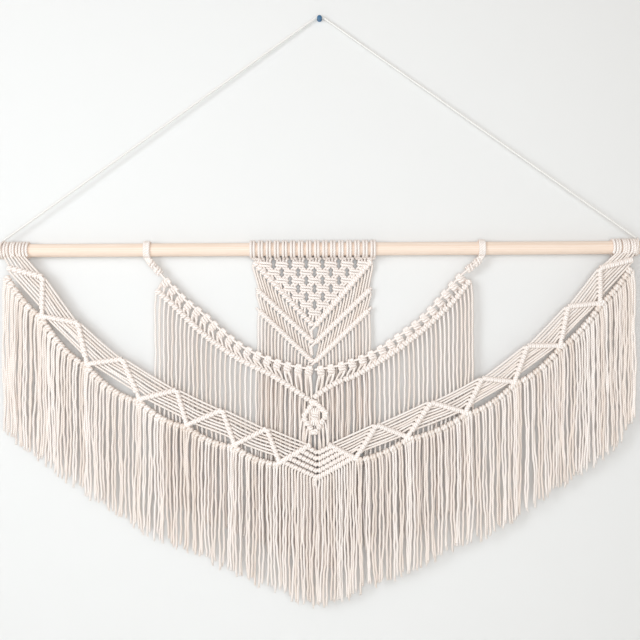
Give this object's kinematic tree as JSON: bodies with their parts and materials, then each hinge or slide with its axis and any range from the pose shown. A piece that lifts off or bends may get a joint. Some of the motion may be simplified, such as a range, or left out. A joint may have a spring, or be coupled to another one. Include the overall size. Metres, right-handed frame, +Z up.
{
  "type": "tapestry wall hanging",
  "caption": "Macrame wall hanging: knotted cotton cord in three swagged layers with long fringe on a round wooden dowel, hung by one cord over a push pin.",
  "frame": {"origin": "the point where the push pin's axis meets the wall's surface", "axes": "+X to the viewer's right along the dowel, +Y into the wall, +Z up"},
  "size_m": [1.225, 0.045, 1.1288],
  "materials": {
    "cotton_cord": "undyed twisted cotton cord, ivory, matt and slightly fluffy",
    "knotted_cotton": "undyed cotton cord drawn tight into square knots and hitches",
    "pine": "pale sanded pine dowel, unvarnished",
    "blue_plastic": "moulded push-pin head",
    "steel": "bright steel pin"
  },
  "bodies": {
    "pin": {"pin_head": "blue_plastic", "pin_needle": "steel"},
    "bight": {"hanger_cord_bight": "cotton_cord"},
    "hanger": {"hanger_cord_left": "cotton_cord", "hanger_cord_right": "cotton_cord", "hanger_hitch_left": "knotted_cotton", "hanger_hitch_right": "knotted_cotton"},
    "rod": {"dowel": "pine"},
    "centre_layer": {"centre_larks_heads": "knotted_cotton", "centre_knot_net": "knotted_cotton", "centre_vee_1_left": "knotted_cotton", "centre_vee_1_right": "knotted_cotton", "centre_vee_2_left": "knotted_cotton", "centre_vee_2_right": "knotted_cotton", "centre_vee_3_left": "knotted_cotton", "centre_vee_3_right": "knotted_cotton", "centre_strands_1": "cotton_cord", "centre_strands_2": "cotton_cord", "centre_fringe": "cotton_cord"},
    "middle_layer": {"middle_larks_head_left": "knotted_cotton", "middle_larks_head_right": "knotted_cotton", "swag_sennit_left": "knotted_cotton", "swag_sennit_right": "knotted_cotton", "swag_hitches_left": "knotted_cotton", "swag_hitches_right": "knotted_cotton", "middle_strands": "cotton_cord", "diamond": "knotted_cotton", "middle_fringe_left": "cotton_cord", "middle_fringe_right": "cotton_cord"},
    "lower_layer": {"lower_larks_heads_left": "knotted_cotton", "lower_larks_heads_right": "knotted_cotton", "end_bar_left": "knotted_cotton", "end_bar_right": "knotted_cotton", "band_left": "cotton_cord", "band_right": "cotton_cord", "zigzag_bars_left": "knotted_cotton", "zigzag_bars_right": "knotted_cotton", "scallop_cord_left": "knotted_cotton", "scallop_cord_right": "knotted_cotton", "fringe_bay_1_left": "cotton_cord", "fringe_bay_1_right": "cotton_cord", "fringe_bay_2_left": "cotton_cord", "fringe_bay_2_right": "cotton_cord", "fringe_bay_3_left": "cotton_cord", "fringe_bay_3_right": "cotton_cord", "fringe_bay_4_left": "cotton_cord", "fringe_bay_4_right": "cotton_cord", "fringe_bay_5_left": "cotton_cord", "fringe_bay_5_right": "cotton_cord", "fringe_bay_6_left": "cotton_cord", "fringe_bay_6_right": "cotton_cord", "chevron": "knotted_cotton", "centre_skirt": "cotton_cord"}
  },
  "joints": [
    {"name": "hanger_tilt", "type": "hinge", "parent": "pin", "child": "bight", "pos_m": [0, -0.0065, 0], "axis": [0, 1, 0], "range_deg": [-8, 8]},
    {"name": "hanger_lift", "type": "hinge", "parent": "bight", "child": "hanger", "pos_m": [0, -0.0065, 0], "axis": [-1, 0, 0], "range_deg": [0, 15]},
    {"name": "dowel_roll", "type": "hinge", "parent": "hanger", "child": "rod", "pos_m": [0, -0.017, -0.443], "axis": [1, 0, 0], "continuous": true},
    {"name": "centre_lift", "type": "hinge", "parent": "hanger", "child": "centre_layer", "pos_m": [0, -0.017, -0.443], "axis": [-1, 0, 0], "range_deg": [0, 10]},
    {"name": "middle_lift", "type": "hinge", "parent": "centre_layer", "child": "middle_layer", "pos_m": [0, -0.017, -0.443], "axis": [-1, 0, 0], "range_deg": [0, 15]},
    {"name": "lower_lift", "type": "hinge", "parent": "middle_layer", "child": "lower_layer", "pos_m": [0, -0.017, -0.443], "axis": [-1, 0, 0], "range_deg": [0, 25]}
  ]
}
